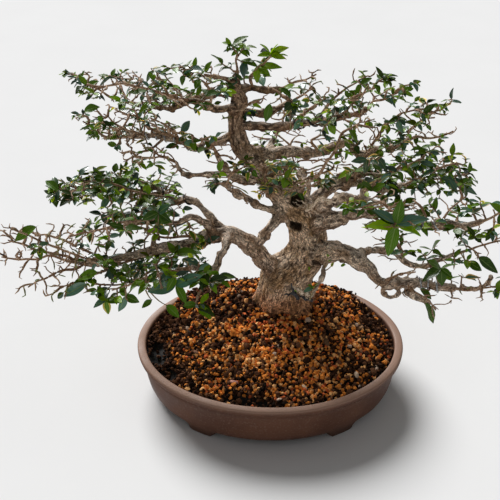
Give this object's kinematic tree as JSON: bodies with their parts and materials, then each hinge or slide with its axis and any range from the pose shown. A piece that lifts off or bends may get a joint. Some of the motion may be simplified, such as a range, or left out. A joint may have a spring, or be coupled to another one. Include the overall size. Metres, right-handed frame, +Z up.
{
  "type": "bonsai tree",
  "caption": "Broad old bonsai tree with a tapering trunk, spreading wired limbs and small glossy leaves, rooted in granular soil in a shallow oval footed pot.",
  "frame": {"origin": "middle of the base of the whole object's bounding box, on the surface that the pot stands on", "axes": "+X to the right along the pot's long axis and the widest spread of the limbs, +Y to the back, +Z up; the front faces -Y"},
  "size_m": [0.699, 0.3892, 0.5187],
  "materials": {
    "clay": "unglazed fired clay, matt brown",
    "soil": "loose baked clay granules, matt",
    "bark": "finely fissured grey-tan bark",
    "foliage": "glossy dark green leaves on thin twigs",
    "wire": "annealed training wire, dull",
    "drain_mesh": "black plastic mesh"
  },
  "bodies": {
    "root": {"drain_mesh_1": "drain_mesh", "drain_mesh_2": "drain_mesh", "pot": "clay", "soil": "soil", "spray_apex": "foliage", "spray_back_high": "foliage", "spray_back_low": "foliage", "spray_front_cut": "foliage", "spray_front_thin": "foliage", "spray_left_back": "foliage", "spray_left_front": "foliage", "spray_left_hang": "foliage", "spray_left_shoot": "foliage", "spray_left_tip": "foliage", "spray_left_under": "foliage", "spray_mid_left": "foliage", "spray_mid_left_side": "foliage", "spray_right_back": "foliage", "spray_right_back_side": "foliage", "spray_right_front": "foliage", "spray_right_low": "foliage", "spray_right_low_side": "foliage", "spray_right_low_side_2": "foliage", "spray_right_mid": "foliage", "spray_stub_left": "foliage", "spray_top_left": "foliage", "spray_top_left_back": "foliage", "spray_top_right": "foliage", "spray_top_right_back": "foliage", "spray_top_twig": "foliage", "spray_upper_back_2": "foliage", "spray_upper_left": "foliage", "spray_upper_right": "foliage", "spray_upper_right_back": "foliage", "trunk": "bark", "wire_left_back": "wire", "wire_right_front": "wire", "wire_right_low": "wire", "wire_upper_left": "wire", "wire_upper_right": "wire"}
  },
  "joints": []
}
